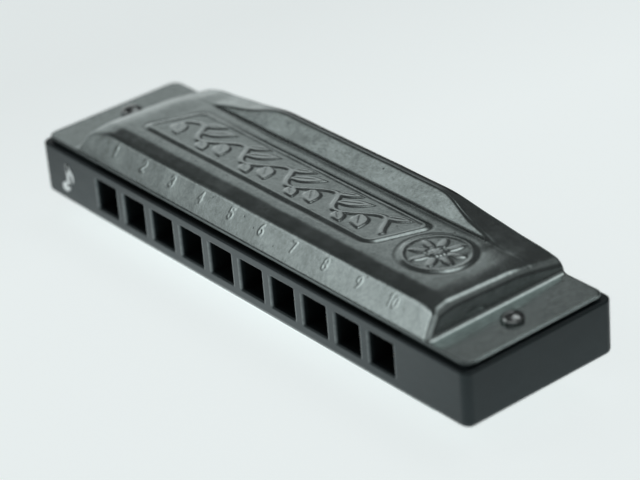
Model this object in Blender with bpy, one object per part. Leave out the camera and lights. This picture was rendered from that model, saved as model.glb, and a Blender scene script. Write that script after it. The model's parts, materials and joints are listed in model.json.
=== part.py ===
"""Ten-hole diatonic harmonica: a black plastic comb with recessed brass reed plates, twenty riveted reeds and two
pressed steel covers whose rear edge flares up into a sound opening. Millimetres times MM give metres.

Frame: origin at the middle of the comb. +X runs from hole 1 (low notes) to hole 10, -Y faces the player's mouth,
+Z is up. The blow reeds hang inside the chambers under the upper plate; the draw reeds are under the lower plate.
"""

import math

import bmesh
import bpy

MM = 0.001
GAP = 0.05 * MM  # between pieces that rest on each other
OVERRUN = 1.0 * MM  # how far a cutter reaches past what it cuts
SHARP_ANGLE = math.radians(35)

# Comb
HOLES = 10
HOLE_PITCH = 7.5 * MM
HOLE_WIDTH = 5.3 * MM
HOLE_HEIGHT = 5.2 * MM
COMB_LENGTH = 103.6 * MM
COMB_DEPTH = 28.6 * MM
COMB_HEIGHT = 9.8 * MM
COMB_CORNER_RADIUS = 1.5 * MM
COMB_EDGE_RADIUS = 1.0 * MM
MOUTH_WALL = 3.3 * MM  # front face to the chambers
POCKET_FLOOR_Z = 3.1 * MM  # the reed plates lie on this floor, above and below
CHAMBER_OVERLAP = 0.4 * MM  # the chambers break through the pockets' floors by this
BEHIND_BLOW_SLOT = 0.7 * MM  # chamber left behind a blow reed's slot
BEHIND_DRAW_RIVET = 0.2 * MM

# Reed plates
PLATE_THICKNESS = 0.9 * MM
PLATE_LENGTH = 90.0 * MM
PLATE_FRONT_Y = -12.0 * MM
PLATE_REAR_Y = 11.8 * MM
PLATE_CORNER_RADIUS = 1.2 * MM
POCKET_CLEARANCE = 0.2 * MM

# Reeds
LONGEST_REED = 15.5 * MM  # hole 1, root to tip
SHORTEST_REED = 9.0 * MM  # hole 10
WIDEST_REED = 2.2 * MM
NARROWEST_REED = 1.9 * MM
SLOT_SIDE_GAP = 0.1 * MM
SLOT_TIP_GAP = 0.15 * MM
PAD_WIDTH = 3.0 * MM
PAD_LENGTH = 3.2 * MM
PAD_THICKNESS = 0.35 * MM
TONGUE_THICKNESS = 0.25 * MM
TONGUE_THINNEST = 0.16 * MM
REED_OFFSET = 0.12 * MM  # daylight between a reed and its plate
PAD_TAPER = 0.3 * MM
TIP_WEIGHT_START = 0.75  # shares of the tongue's length
TIP_WEIGHT_END = 0.82
BLOW_RIVET_Y = -9.0 * MM
DRAW_TIP_Y = -9.5 * MM

# Rivets that hold the reeds
RIVET_RADIUS = 0.6 * MM
RIVET_HEAD_RADIUS = 1.0 * MM
RIVET_HEAD_HEIGHT = 0.35 * MM
RIVET_HOLE_CLEARANCE = 0.1 * MM
RIVET_LIP = 0.15 * MM  # spread of the rivet's closed end
RIVET_SEGMENTS = 12

# Screws that hold the reed plates
SCREW_RADIUS = 0.7 * MM
SCREW_LENGTH = 3.4 * MM  # under the head
SCREW_HEAD_RADIUS = 1.4 * MM
SCREW_HEAD_HEIGHT = 0.7 * MM
SCREW_DRIVE_LENGTH = 1.7 * MM
SCREW_DRIVE_WIDTH = 0.35 * MM
SCREW_DRIVE_DEPTH = 0.4 * MM
SCREW_END_X = 41.0 * MM
SCREW_FRONT_Y = -6.0 * MM
SCREW_REAR_Y = 8.4 * MM
SCREW_MIDDLE_Y = 9.4 * MM
SCREW_TIP_LENGTH = 0.7 * MM
SCREW_SEGMENTS = 16

# Covers
SHEET = 0.45 * MM
FLANGE_BASE_Z = COMB_HEIGHT / 2 + GAP
FLANGE_TOP_Z = FLANGE_BASE_Z + SHEET
FLANGE_END_X = 50.7 * MM
FLANGE_CORNER_RADIUS = 1.6 * MM
COVER_FRONT_Y = -13.4 * MM
COVER_REAR_Y = 13.2 * MM
DOME_FOOT_X = 42.8 * MM  # where the end walls leave the flanges
DOME_TOP_X = 41.5 * MM
CREASE_Y = -9.9 * MM  # between the front slope and the top panel
CREASE_Z = 9.2 * MM
CREASE_RADIUS = 3.0 * MM
VALLEY_Y = 8.0 * MM  # where the top panel turns up into the rear lip
VALLEY_Z = 8.6 * MM
LIP_Y = 11.2 * MM
LIP_Z = 10.55 * MM  # lip height over the middle of the cover
LIP_END_Z = 8.4 * MM  # lip height at the ends of the dome
LIP_FLAT_X = 17.0 * MM  # half length of the level middle of the lip
LIP_SHOULDER_X = 22.0 * MM  # where the straight fall to the ends begins
LIP_EDGE_RADIUS = 0.5 * MM
LIP_HEM = 1.3 * MM  # height of the turned-down rear edge
LIP_LEAST_RISE = 0.1 * MM
OPENING_HALF_X = 37.5 * MM
OPENING_INSIDE = 1.2 * MM  # the opening's cutter starts this far inside the rear edge
OPENING_CUT = 3.0 * MM
ARCH_COLUMNS = [36 * MM, 31 * MM, 26.5 * MM, LIP_SHOULDER_X, (LIP_FLAT_X + LIP_SHOULDER_X) / 2, LIP_FLAT_X]
HOLLOW_DEPTH = 1.0 * MM  # how far the hollow's cutter runs on below the cover
HOLLOW_OVERRUN = 0.12  # and past the foot of the end walls, as a share of their run

# Nails that hold the covers
NAIL_X = 47.0 * MM
NAIL_Y = 0.9 * MM  # back on the upper cover's left, forward on its right, so nails from below pass them
NAIL_RADIUS = 0.8 * MM
NAIL_LENGTH = 4.4 * MM  # under the head
NAIL_HEAD_RADIUS = 1.75 * MM
NAIL_HEAD_HEIGHT = 1.05 * MM
NAIL_TIP_LENGTH = 0.8 * MM
NAIL_SEGMENTS = 20


def clear_scene():
    for obj in list(bpy.data.objects):
        bpy.data.objects.remove(obj, do_unlink=True)


def make_material(name, colour, roughness, metallic):
    material = bpy.data.materials.new(name)
    material.use_nodes = True
    shader = material.node_tree.nodes["Principled BSDF"]
    shader.inputs["Base Color"].default_value = (*colour, 1.0)
    shader.inputs["Roughness"].default_value = roughness
    shader.inputs["Metallic"].default_value = metallic
    return material


def link(name, data, material=None, parent=None, location=(0, 0, 0), rotation=(0, 0, 0)):
    """A new object in the scene, at a place under its parent."""
    obj = bpy.data.objects.new(name, data)
    bpy.context.scene.collection.objects.link(obj)
    obj.location = location
    obj.rotation_euler = rotation
    obj.parent = parent
    if material:
        data.materials.clear()
        data.materials.append(material)
    return obj


def mesh_from(bm, name):
    """The bmesh as mesh data, with its normals pointing out and its round stretches smooth."""
    bmesh.ops.recalc_face_normals(bm, faces=bm.faces)
    mesh = bpy.data.meshes.new(name)
    bm.to_mesh(mesh)
    bm.free()
    mesh.shade_smooth()
    mesh.set_sharp_from_angle(angle=SHARP_ANGLE)
    return mesh


def hole_x(number):
    return (number - (HOLES + 1) / 2) * HOLE_PITCH


def along_reeds(number, at_first, at_last):
    """A size that falls evenly from hole 1 to hole 10."""
    return at_first + (at_last - at_first) * (number - 1) / (HOLES - 1)


def reed_length(number):
    return along_reeds(number, LONGEST_REED, SHORTEST_REED)


def reed_width(number):
    return along_reeds(number, WIDEST_REED, NARROWEST_REED)


def reed_root_offset():
    """From the rivet's axis to the slot's root end."""
    return PAD_LENGTH / 2 + SLOT_SIDE_GAP


def draw_rivet_y(number):
    """Draw reeds point at the mouth, so their rivets step back as the reeds get longer."""
    return DRAW_TIP_Y + reed_length(number) + reed_root_offset()


def chamber_end_y(number):
    behind_blow_slot = BLOW_RIVET_Y + reed_root_offset() + reed_length(number) + BEHIND_BLOW_SLOT
    behind_draw_rivet = draw_rivet_y(number) + RIVET_HEAD_RADIUS + BEHIND_DRAW_RIVET
    return max(behind_blow_slot, behind_draw_rivet)


def screw_places():
    """(name, x, y) of the screws in a reed plate."""
    return [
        ("front_left", -SCREW_END_X, SCREW_FRONT_Y),
        ("front_right", SCREW_END_X, SCREW_FRONT_Y),
        ("rear_left", -SCREW_END_X, SCREW_REAR_Y),
        ("rear_right", SCREW_END_X, SCREW_REAR_Y),
        ("middle", 0.0, SCREW_MIDDLE_Y),
    ]


def nail_y(cover, side):
    """The lower cover is the upper one turned over, so its nails are offset the other way."""
    return -side * NAIL_Y if cover == "upper" else side * NAIL_Y


# ---------------------------------------------------------------- shapes


def rounded_rectangle(x0, x1, y0, y1, radius, segments):
    """Corner points of a rectangle with rounded corners, anticlockwise."""
    points = []
    corners = [(x1, y1, 0), (x0, y1, 90), (x0, y0, 180), (x1, y0, 270)]
    for corner_x, corner_y, start in corners:
        centre_x = corner_x - math.copysign(radius, corner_x - (x0 + x1) / 2)
        centre_y = corner_y - math.copysign(radius, corner_y - (y0 + y1) / 2)
        for step in range(segments + 1):
            angle = math.radians(start + 90 * step / segments)
            points.append((centre_x + radius * math.cos(angle), centre_y + radius * math.sin(angle)))
    return points


def circle(centre_x, centre_y, radius, segments):
    angles = [2 * math.pi * step / segments for step in range(segments)]
    return [(centre_x + radius * math.cos(a), centre_y + radius * math.sin(a)) for a in angles]


def prism(points, z0, z1):
    """A bmesh of the outline raised from z0 to z1."""
    bm = bmesh.new()
    base = bm.faces.new([bm.verts.new((x, y, z0)) for x, y in points])
    raised = bmesh.ops.extrude_face_region(bm, geom=[base])
    top = [item for item in raised["geom"] if isinstance(item, bmesh.types.BMVert)]
    bmesh.ops.translate(bm, verts=top, vec=(0, 0, z1 - z0))
    return bm


def turned(profile, segments):
    """A bmesh of the (radius, z) profile spun about Z. Its ends lie on the axis."""
    bm = bmesh.new()
    verts = [bm.verts.new((radius, 0, z)) for radius, z in profile]
    edges = [bm.edges.new(pair) for pair in zip(verts, verts[1:])]
    bmesh.ops.spin(
        bm,
        geom=verts + edges,
        cent=(0, 0, 0),
        axis=(0, 0, 1),
        angle=2 * math.pi,
        steps=segments,
        use_duplicate=False,
    )
    bmesh.ops.remove_doubles(bm, verts=bm.verts, dist=0.001 * MM)
    return bm


def dome_profile(radius, height, base_z, steps):
    """(radius, z) points of a round head, from its rim up to its top on the axis."""
    rim = 0.25 * height
    points = [(radius, base_z)]
    for step in range(steps + 1):
        angle = math.radians(90 * step / steps)
        points.append((radius * math.cos(angle), base_z + rim + (height - rim) * math.sin(angle)))
    points[-1] = (0.0, base_z + height)
    return points


def hidden_cutter(name, bm):
    """An object that only cuts: it stays out of renders."""
    cutter = link(name, mesh_from(bm, name))
    cutter.hide_render = True
    cutter.display_type = "WIRE"
    return cutter


def cut_with(obj, cutters, group_name):
    """Subtracts every cutter from obj with one Boolean over a collection."""
    group = bpy.data.collections.new(group_name)
    group.hide_render = True
    bpy.context.scene.collection.children.link(group)
    for cutter in cutters:
        bpy.context.scene.collection.objects.unlink(cutter)
        group.objects.link(cutter)
    modifier = obj.modifiers.new("cut", "BOOLEAN")
    modifier.operation = "DIFFERENCE"
    modifier.operand_type = "COLLECTION"
    modifier.collection = group
    modifier.solver = "EXACT"


# ---------------------------------------------------------------- comb


def chamber_cutter(number):
    """The mouth hole and the taller chamber behind it, as one stepped profile pushed across the hole's width."""
    front = -COMB_DEPTH / 2 - OVERRUN
    step = -COMB_DEPTH / 2 + MOUTH_WALL
    rear = chamber_end_y(number)
    low = HOLE_HEIGHT / 2
    high = POCKET_FLOOR_Z + CHAMBER_OVERLAP
    profile = [
        (front, -low),
        (step, -low),
        (step, -high),
        (rear, -high),
        (rear, high),
        (step, high),
        (step, low),
        (front, low),
    ]
    x = hole_x(number) - HOLE_WIDTH / 2
    bm = bmesh.new()
    side = bm.faces.new([bm.verts.new((x, y, z)) for y, z in profile])
    pushed = bmesh.ops.extrude_face_region(bm, geom=[side])
    far = [item for item in pushed["geom"] if isinstance(item, bmesh.types.BMVert)]
    bmesh.ops.translate(bm, verts=far, vec=(HOLE_WIDTH, 0, 0))
    return hidden_cutter(f"cut_chamber_{number}", bm)


def pocket_cutter(name, z0, z1):
    outline = rounded_rectangle(
        -PLATE_LENGTH / 2 - POCKET_CLEARANCE,
        PLATE_LENGTH / 2 + POCKET_CLEARANCE,
        PLATE_FRONT_Y - POCKET_CLEARANCE,
        PLATE_REAR_Y + POCKET_CLEARANCE,
        PLATE_CORNER_RADIUS,
        3,
    )
    return hidden_cutter(name, prism(outline, z0, z1))


def make_comb(material, root):
    half_x = COMB_LENGTH / 2
    half_y = COMB_DEPTH / 2
    half_z = COMB_HEIGHT / 2
    outline = rounded_rectangle(-half_x, half_x, -half_y, half_y, COMB_CORNER_RADIUS, 4)
    bm = prism(outline, -half_z, half_z)
    level = [e for e in bm.edges if abs(e.verts[0].co.z - e.verts[1].co.z) < GAP]
    bmesh.ops.bevel(bm, geom=level, offset=COMB_EDGE_RADIUS, segments=3, profile=0.5, affect="EDGES")
    comb = link("comb", mesh_from(bm, "comb"), material, root)
    beyond = half_z + OVERRUN
    cutters = [chamber_cutter(number) for number in range(1, HOLES + 1)]
    cutters.append(pocket_cutter("cut_upper_pocket", POCKET_FLOOR_Z, beyond))
    cutters.append(pocket_cutter("cut_lower_pocket", -beyond, -POCKET_FLOOR_Z))
    for name, x, y in screw_places():
        bore = circle(x, y, SCREW_RADIUS + GAP, SCREW_SEGMENTS)
        cutters.append(hidden_cutter(f"cut_screw_{name}", prism(bore, -beyond, beyond)))
    for side in (-1, 1):
        for name, low, high in (("upper", 0.0, beyond), ("lower", -beyond, 0.0)):
            bore = circle(side * NAIL_X, nail_y(name, side), NAIL_RADIUS + GAP, NAIL_SEGMENTS)
            cutters.append(hidden_cutter(f"cut_{name}_nail_{side}", prism(bore, low, high)))
    cut_with(comb, cutters, "comb_cutters")
    return comb


# ---------------------------------------------------------------- reed plates, reeds and their fasteners


def plate_data(name, rivet_ys, towards_rear):
    """A flat plate as a filled curve: its outline, a slot for each reed, and holes for the rivets and screws."""
    outlines = [
        rounded_rectangle(
            -PLATE_LENGTH / 2, PLATE_LENGTH / 2, PLATE_FRONT_Y, PLATE_REAR_Y, PLATE_CORNER_RADIUS, 3
        )
    ]
    for number, rivet_y in enumerate(rivet_ys, start=1):
        x = hole_x(number)
        half_width = reed_width(number) / 2 + SLOT_SIDE_GAP
        root_y = rivet_y + towards_rear * reed_root_offset()
        tip_y = root_y + towards_rear * (reed_length(number) + SLOT_TIP_GAP)
        low_y, high_y = sorted((root_y, tip_y))
        outlines.append(
            [
                (x - half_width, low_y),
                (x - half_width, high_y),
                (x + half_width, high_y),
                (x + half_width, low_y),
            ]
        )
        outlines.append(circle(x, rivet_y, RIVET_RADIUS + GAP, RIVET_SEGMENTS))
    for _, x, y in screw_places():
        outlines.append(circle(x, y, SCREW_RADIUS + GAP, SCREW_SEGMENTS))
    data = bpy.data.curves.new(name, "CURVE")
    data.dimensions = "2D"
    data.fill_mode = "BOTH"
    data.extrude = PLATE_THICKNESS / 2
    for points in outlines:
        spline = data.splines.new("POLY")
        spline.points.add(len(points) - 1)
        for point, (x, y) in zip(spline.points, points):
            point.co = (x, y, 0, 1)
        spline.use_cyclic_u = True
    return data


def reed_bmesh(number, towards_rear):
    """A reed about its rivet: a riveted pad, a thinned tongue and a heavier tip, as a row of bridged sections.
    Its flat side, which faces the plate, is at z = 0, and the rest lies below."""
    half_pad = PAD_LENGTH / 2
    half_width = reed_width(number) / 2
    root = reed_root_offset()
    length = reed_length(number)
    sections = [
        (-half_pad, PAD_WIDTH / 2, PAD_THICKNESS),
        (half_pad - PAD_TAPER, PAD_WIDTH / 2, PAD_THICKNESS),
        (half_pad, half_width, PAD_THICKNESS),
        (root + 0.15 * length, half_width, TONGUE_THICKNESS),
        (root + 0.45 * length, half_width, TONGUE_THINNEST),
        (root + TIP_WEIGHT_START * length, half_width, TONGUE_THINNEST),
        (root + TIP_WEIGHT_END * length, half_width, TONGUE_THICKNESS),
        (root + length, half_width, TONGUE_THICKNESS),
    ]
    bm = bmesh.new()
    loops = []
    for y, half, thickness in sections:
        y *= towards_rear
        corners = [(-half, y, 0), (half, y, 0), (half, y, -thickness), (-half, y, -thickness)]
        loops.append([bm.verts.new(corner) for corner in corners])
    for near, far in zip(loops, loops[1:]):
        for side in range(4):
            other = (side + 1) % 4
            bm.faces.new([near[side], near[other], far[other], far[side]])
    bm.faces.new(loops[0])
    bm.faces.new(loops[-1])
    return bm


def make_reed(name, number, rivet_y, flat_z, towards_rear, material, root):
    """A reed whose origin lies on its rivet's axis, in its own mid-plane, where it hinges."""
    middle_z = -TONGUE_THICKNESS / 2
    bm = reed_bmesh(number, towards_rear)
    bmesh.ops.translate(bm, verts=bm.verts, vec=(0, 0, -middle_z))
    reed = link(name, mesh_from(bm, name), material, root, (hole_x(number), rivet_y, flat_z + middle_z))
    bore = prism(circle(0, 0, RIVET_RADIUS + RIVET_HOLE_CLEARANCE, RIVET_SEGMENTS), -OVERRUN, OVERRUN)
    cutter = hidden_cutter(f"cut_{name}", bore)
    cutter.location = (hole_x(number), rivet_y, flat_z + middle_z)
    cut_with(reed, [cutter], f"{name}_cutters")


def rivet_mesh():
    """A reed rivet about the plate's reed-side face at z = 0, with its round head below the reed's pad."""
    pad_side = -(REED_OFFSET + PAD_THICKNESS + REED_OFFSET)
    far_side = PLATE_THICKNESS + GAP
    head = dome_profile(RIVET_HEAD_RADIUS, RIVET_HEAD_HEIGHT, 0.0, 2)
    profile = [(radius, pad_side - z) for radius, z in reversed(head)]
    profile += [
        (RIVET_RADIUS, pad_side),
        (RIVET_RADIUS, far_side),
        (RIVET_RADIUS + RIVET_LIP, far_side),
        (RIVET_RADIUS + 0.1 * MM, far_side + 0.12 * MM),
        (0.0, far_side + RIVET_LIP),
    ]
    return mesh_from(turned(profile, RIVET_SEGMENTS), "reed_rivet")


def screw_mesh():
    """A pan-head screw about the underside of its head at z = 0, with a cross recess."""
    head = [
        (SCREW_HEAD_RADIUS, 0.0),
        (SCREW_HEAD_RADIUS, 0.55 * SCREW_HEAD_HEIGHT),
        (0.75 * SCREW_HEAD_RADIUS, SCREW_HEAD_HEIGHT),
        (0.0, SCREW_HEAD_HEIGHT),
    ]
    tip = [
        (0.0, -SCREW_LENGTH),
        (0.35 * SCREW_RADIUS, -SCREW_LENGTH),
        (SCREW_RADIUS, -SCREW_LENGTH + SCREW_TIP_LENGTH),
        (SCREW_RADIUS, 0.0),
    ]
    screw = link("screw_pattern", mesh_from(turned(tip + head, SCREW_SEGMENTS), "screw_pattern"))
    cutters = []
    for name, half_x, half_y in (
        ("cut_drive_x", SCREW_DRIVE_LENGTH / 2, SCREW_DRIVE_WIDTH / 2),
        ("cut_drive_y", SCREW_DRIVE_WIDTH / 2, SCREW_DRIVE_LENGTH / 2),
    ):
        box = [(-half_x, -half_y), (half_x, -half_y), (half_x, half_y), (-half_x, half_y)]
        bottom = SCREW_HEAD_HEIGHT - SCREW_DRIVE_DEPTH
        cutters.append(hidden_cutter(name, prism(box, bottom, SCREW_HEAD_HEIGHT + OVERRUN)))
    cut_with(screw, cutters, "screw_cutters")
    return finished_mesh(screw, cutters)


def nail_mesh():
    """A round-headed nail about the underside of its head at z = 0."""
    shank = [
        (0.0, -NAIL_LENGTH),
        (0.3 * NAIL_RADIUS, -NAIL_LENGTH),
        (NAIL_RADIUS, -NAIL_LENGTH + NAIL_TIP_LENGTH),
        (NAIL_RADIUS, 0.0),
    ]
    head = dome_profile(NAIL_HEAD_RADIUS, NAIL_HEAD_HEIGHT, 0.0, 5)
    return mesh_from(turned(shank + head, NAIL_SEGMENTS), "cover_nail")


def finished_mesh(pattern, helpers):
    """The pattern's mesh with its modifiers applied. The pattern and its helpers then leave the scene."""
    bpy.context.view_layer.update()
    evaluated = pattern.evaluated_get(bpy.context.evaluated_depsgraph_get())
    mesh = bpy.data.meshes.new_from_object(evaluated)
    for obj in [pattern, *helpers]:
        bpy.data.objects.remove(obj, do_unlink=True)
    return mesh


# ---------------------------------------------------------------- covers


def lip_height(x):
    """Height of the rear lip: level over the middle, rounding into a straight fall to the ends of the dome."""
    across = abs(x)
    if across <= LIP_FLAT_X:
        return LIP_Z
    fall = (LIP_Z - LIP_END_Z) / (DOME_TOP_X - (LIP_FLAT_X + LIP_SHOULDER_X) / 2)
    if across <= LIP_SHOULDER_X:
        share = (across - LIP_FLAT_X) / (LIP_SHOULDER_X - LIP_FLAT_X)
        return LIP_Z - fall * (LIP_SHOULDER_X - LIP_FLAT_X) * share * share / 2
    return LIP_Z - fall * (across - (LIP_FLAT_X + LIP_SHOULDER_X) / 2)


def section_points(x):
    """(y, z) of the cover's outer surface across the dome at x, from its front edge over to its rear edge."""
    slope = math.atan2(CREASE_Z - FLANGE_TOP_Z, CREASE_Y - COVER_FRONT_Y)
    panel = math.atan2(VALLEY_Z - CREASE_Z, VALLEY_Y - CREASE_Y)
    tangent = CREASE_RADIUS * math.tan((slope - panel) / 2)
    centre_y = CREASE_Y + tangent * math.cos(panel) + CREASE_RADIUS * math.sin(panel)
    centre_z = CREASE_Z + tangent * math.sin(panel) - CREASE_RADIUS * math.cos(panel)
    points = [(COVER_FRONT_Y, FLANGE_TOP_Z)]
    for step in range(4):
        angle = slope + (panel - slope) * step / 3
        points.append((centre_y - CREASE_RADIUS * math.sin(angle), centre_z + CREASE_RADIUS * math.cos(angle)))
    ramp = (LIP_Y - VALLEY_Y) / (LIP_Z - VALLEY_Z)
    top_z = lip_height(x)
    points.append((VALLEY_Y, VALLEY_Z))
    points.append((VALLEY_Y + ramp * max(top_z - VALLEY_Z, LIP_LEAST_RISE), max(top_z, VALLEY_Z)))
    for step in range(3):
        angle = math.radians(45 * step)
        points.append(
            (
                COVER_REAR_Y - LIP_EDGE_RADIUS * (1 - math.sin(angle)),
                top_z - LIP_EDGE_RADIUS * (1 - math.cos(angle)),
            )
        )
    points.append((COVER_REAR_Y, FLANGE_TOP_Z))
    return points


def inward(points, distance):
    """The open line of points moved to its right by a distance, corner by corner."""
    moved = []
    for place, (y, z) in enumerate(points):
        normals = []
        for near, far in ((place - 1, place), (place, place + 1)):
            if near >= 0 and far < len(points):
                run_y = points[far][0] - points[near][0]
                run_z = points[far][1] - points[near][1]
                length = math.hypot(run_y, run_z)
                normals.append((run_z / length, -run_y / length))
        mean_y = sum(n[0] for n in normals) / len(normals)
        mean_z = sum(n[1] for n in normals) / len(normals)
        reach = distance / (mean_y * mean_y + mean_z * mean_z)
        moved.append((y + mean_y * reach, z + mean_z * reach))
    return moved


def lofted(columns):
    """A bmesh over a row of closed outlines, each the same number of (x, y, z) points, capped at both ends."""
    bm = bmesh.new()
    loops = [[bm.verts.new(point) for point in column] for column in columns]
    for left, right in zip(loops, loops[1:]):
        for step in range(len(left)):
            after = (step + 1) % len(left)
            bm.faces.new([left[step], right[step], right[after], left[after]])
    bm.faces.new(loops[0])
    bm.faces.new(loops[-1])
    bmesh.ops.remove_doubles(bm, verts=bm.verts, dist=0.002 * MM)
    return bm


def both_sides(half):
    """Column places from -X to +X, given those from the +X end inwards."""
    return [-x for x in half] + [0.0] + half[::-1]


def cover_block():
    """The cover as a solid block: its outer surface down to a flat underside."""
    corner = [FLANGE_CORNER_RADIUS * (1 - math.cos(math.radians(angle))) for angle in (0, 30, 60, 90)]
    wall = [DOME_FOOT_X, DOME_TOP_X]
    columns = []
    for x in both_sides([FLANGE_END_X - inset for inset in corner] + wall + ARCH_COLUMNS):
        rise = min(max((DOME_FOOT_X - abs(x)) / (DOME_FOOT_X - DOME_TOP_X), 0.0), 1.0)
        into_corner = max(abs(x) - (FLANGE_END_X - FLANGE_CORNER_RADIUS), 0.0)
        inset = FLANGE_CORNER_RADIUS - math.sqrt(max(FLANGE_CORNER_RADIUS**2 - into_corner**2, 0.0))
        middle = (COVER_FRONT_Y + COVER_REAR_Y) / 2
        narrowing = 1 - inset / (COVER_REAR_Y - middle)
        column = []
        for y, z in section_points(x):
            column.append((x, middle + (y - middle) * narrowing, FLANGE_TOP_Z + (z - FLANGE_TOP_Z) * rise))
        column[-1] = (x, column[-1][1], FLANGE_BASE_Z)
        column.append((x, column[0][1], FLANGE_BASE_Z))
        columns.append(column)
    return lofted(columns)


def cover_hollow():
    """What leaves a sheet's thickness of the block: the outer surface moved inwards, open below."""
    wall_slope = math.atan2(CREASE_Z - FLANGE_TOP_Z, DOME_FOOT_X - DOME_TOP_X)
    inset = SHEET / math.sin(wall_slope)
    below = FLANGE_BASE_Z - HOLLOW_DEPTH
    wall = [DOME_FOOT_X - inset + HOLLOW_OVERRUN * (DOME_FOOT_X - DOME_TOP_X), DOME_TOP_X - inset]
    columns = []
    for x in both_sides(wall + ARCH_COLUMNS):
        rise = min((DOME_FOOT_X - inset - abs(x)) / (DOME_FOOT_X - DOME_TOP_X), 1.0)
        points = inward(section_points(x), SHEET)
        column = [(x, y, FLANGE_BASE_Z + (z - FLANGE_BASE_Z) * rise) for y, z in points]
        column[-1] = (x, points[-1][0], below)
        column.append((x, points[0][0], below))
        columns.append(column)
    return lofted(columns)


def opening_cutter():
    """The rear sound opening: an arch that keeps a hem of even height under the lip."""
    half = [OPENING_HALF_X, 31 * MM, 26.5 * MM, LIP_SHOULDER_X, LIP_FLAT_X]
    tops = [(x, lip_height(x) - LIP_HEM) for x in half]
    outline = [(-OPENING_HALF_X, 0.0), (OPENING_HALF_X, 0.0)]
    outline += tops
    outline += [(-x, z) for x, z in reversed(tops)]
    bm = bmesh.new()
    near = bm.faces.new([bm.verts.new((x, COVER_REAR_Y - OPENING_INSIDE, z)) for x, z in outline])
    pushed = bmesh.ops.extrude_face_region(bm, geom=[near])
    far = [item for item in pushed["geom"] if isinstance(item, bmesh.types.BMVert)]
    bmesh.ops.translate(bm, verts=far, vec=(0, OPENING_CUT, 0))
    return hidden_cutter("cut_opening", bm)


def cover_mesh():
    """One cover for both sides: it is the same left and right, so the lower one is this one turned over."""
    pattern = link("cover_pattern", mesh_from(cover_block(), "cover_pattern"))
    cutters = [hidden_cutter("cut_hollow", cover_hollow()), opening_cutter()]
    for side in (-1, 1):
        bore = circle(side * NAIL_X, nail_y("upper", side), NAIL_RADIUS + GAP, NAIL_SEGMENTS)
        bottom = FLANGE_TOP_Z - OVERRUN
        cutters.append(hidden_cutter(f"cut_cover_nail_{side}", prism(bore, bottom, FLANGE_TOP_Z + OVERRUN)))
    cut_with(pattern, cutters, "cover_cutters")
    return finished_mesh(pattern, cutters)


# ---------------------------------------------------------------- assembly


def make_reed_sets(brass, root):
    """Blow reeds under the upper plate, pointing back, and draw reeds under the lower plate, pointing forward."""
    numbers = range(1, HOLES + 1)
    blow_ys = [BLOW_RIVET_Y for _ in numbers]
    draw_ys = [draw_rivet_y(number) for number in numbers]
    upper_z = POCKET_FLOOR_Z + GAP
    lower_z = -(POCKET_FLOOR_Z + GAP + PLATE_THICKNESS)
    rivet = rivet_mesh()
    for side, plate, rivet_ys, face_z, towards_rear in (
        ("blow", "upper_reed_plate", blow_ys, upper_z, 1),
        ("draw", "lower_reed_plate", draw_ys, lower_z, -1),
    ):
        data = plate_data(plate, rivet_ys, towards_rear)
        link(plate, data, brass, root, (0, 0, face_z + PLATE_THICKNESS / 2))
        for number, rivet_y in zip(numbers, rivet_ys):
            name = f"{side}_reed_{number}"
            make_reed(name, number, rivet_y, face_z - REED_OFFSET, towards_rear, brass, root)
            link(f"{side}_rivet_{number}", rivet, brass, root, (hole_x(number), rivet_y, face_z))


def make_screws(steel, root):
    mesh = screw_mesh()
    seat_z = POCKET_FLOOR_Z + GAP + PLATE_THICKNESS + GAP
    for side, z, turn in (("upper", seat_z, 0.0), ("lower", -seat_z, math.pi)):
        for place, x, y in screw_places():
            name = f"{side}_plate_screw_{place}"
            link(name, mesh, steel, root, (x, y, z), (turn, 0, 0))


def make_covers(steel, dark_steel, root):
    cover = cover_mesh()
    nail = nail_mesh()
    seat_z = FLANGE_TOP_Z + GAP
    for side, z, turn in (("upper", seat_z, 0.0), ("lower", -seat_z, math.pi)):
        link(f"{side}_cover", cover, steel, root, (0, 0, 0), (0, turn, 0))
        for place, end in (("left", -1), ("right", 1)):
            spot = (end * NAIL_X, nail_y(side, end), z)
            link(f"{side}_cover_nail_{place}", nail, dark_steel, root, spot, (0, turn, 0))


def main():
    clear_scene()
    plastic = make_material("black_plastic", (0.02, 0.022, 0.024), 0.42, 0.0)
    brass = make_material("brass", (0.72, 0.53, 0.25), 0.35, 1.0)
    steel = make_material("cover_steel", (0.48, 0.5, 0.5), 0.32, 1.0)
    dark_steel = make_material("nail_steel", (0.25, 0.25, 0.26), 0.22, 1.0)
    screw_steel = make_material("screw_steel", (0.6, 0.6, 0.58), 0.3, 1.0)
    root = link("harmonica", None)
    make_comb(plastic, root)
    make_reed_sets(brass, root)
    make_screws(screw_steel, root)
    make_covers(steel, dark_steel, root)


main()
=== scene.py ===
"""Looks for the ten-hole harmonica: fine pressed covers with relief, a moulded comb, nails and procedural materials,
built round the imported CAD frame. Shapes are worked out in millimetres, and MM turns them into metres."""

import json
import math

import bmesh
import bpy
import numpy as np
from mathutils import Euler, Matrix, Vector


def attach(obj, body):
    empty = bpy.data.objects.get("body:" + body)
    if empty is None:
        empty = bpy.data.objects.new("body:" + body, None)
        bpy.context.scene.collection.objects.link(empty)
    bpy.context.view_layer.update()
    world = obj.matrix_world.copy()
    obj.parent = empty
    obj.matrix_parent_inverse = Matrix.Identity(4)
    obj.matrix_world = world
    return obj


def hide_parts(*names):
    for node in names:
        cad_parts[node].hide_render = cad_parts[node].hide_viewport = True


MM = 0.001
HOLES = 10
PITCH = 7.5
TABLE_STEP = 0.05

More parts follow.
